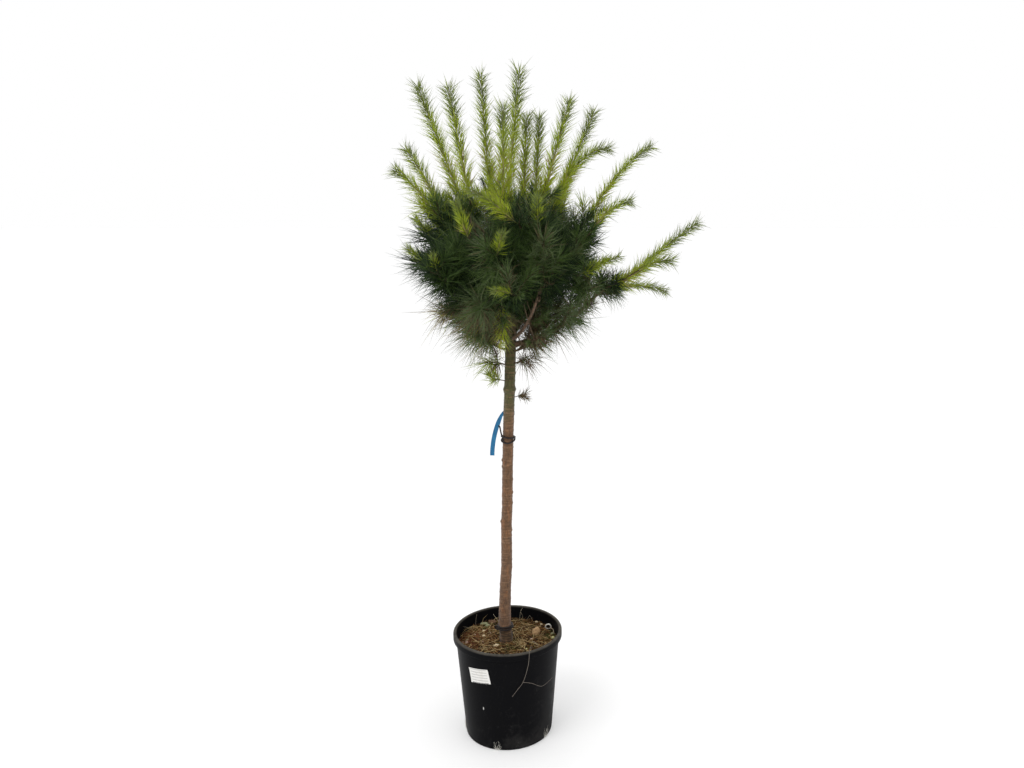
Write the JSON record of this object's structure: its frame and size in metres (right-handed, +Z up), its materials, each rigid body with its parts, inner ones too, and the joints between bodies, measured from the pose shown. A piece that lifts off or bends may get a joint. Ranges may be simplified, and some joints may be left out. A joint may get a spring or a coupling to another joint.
{
  "type": "potted stone pine",
  "caption": "Stone pine grown as a standard, with a clear stem and a broad needled head with upright new shoots, in a round nursery pot.",
  "frame": {"origin": "centre of the pot's flat underside, on the ground", "axes": "+Z up along the stem; -Y towards the side that the picture shows, +X to its right"},
  "size_m": [0.8328, 0.5705, 1.8232],
  "materials": {
    "pot_plastic": "satin black moulded plastic, a little dusty",
    "soil_mix": "potting mix with bark, moss and fallen needles",
    "bark": "rough grey-brown bark",
    "bough_bark": "brown young bark",
    "needles": "dark green needles, yellow-green on the new shoots",
    "tie_rubber": "black soft tying tube",
    "ribbon_plastic": "blue plastic ribbon",
    "sticker_paper": "blank white paper"
  },
  "bodies": {
    "root": {"bough_high_back": "bough_bark", "bough_high_back_left": "bough_bark", "bough_high_back_right": "bough_bark", "bough_high_front": "bough_bark", "bough_high_left": "bough_bark", "bough_high_right": "bough_bark", "bough_low_back_left": "bough_bark", "bough_low_back_right": "bough_bark", "bough_low_front": "bough_bark", "bough_low_front_right": "bough_bark", "bough_low_left": "bough_bark", "bough_low_right": "bough_bark", "mass_high_back": "needles", "mass_high_back_left": "needles", "mass_high_back_right": "needles", "mass_high_front": "needles", "mass_high_left": "needles", "mass_high_right": "needles", "mass_low_back_left": "needles", "mass_low_back_right": "needles", "mass_low_front": "needles", "mass_low_front_right": "needles", "mass_low_left": "needles", "mass_low_right": "needles", "mass_skirt_left": "needles", "mass_skirt_right": "needles", "mass_sprig_left": "needles", "mass_sprig_right": "needles", "mass_top": "needles", "mass_tuft_left": "needles", "mass_tuft_right": "needles", "pot": "pot_plastic", "ribbon": "ribbon_plastic", "soil": "soil_mix", "sticker": "sticker_paper", "tie_high": "tie_rubber", "tie_low": "tie_rubber", "trunk": "bark"}
  },
  "joints": []
}
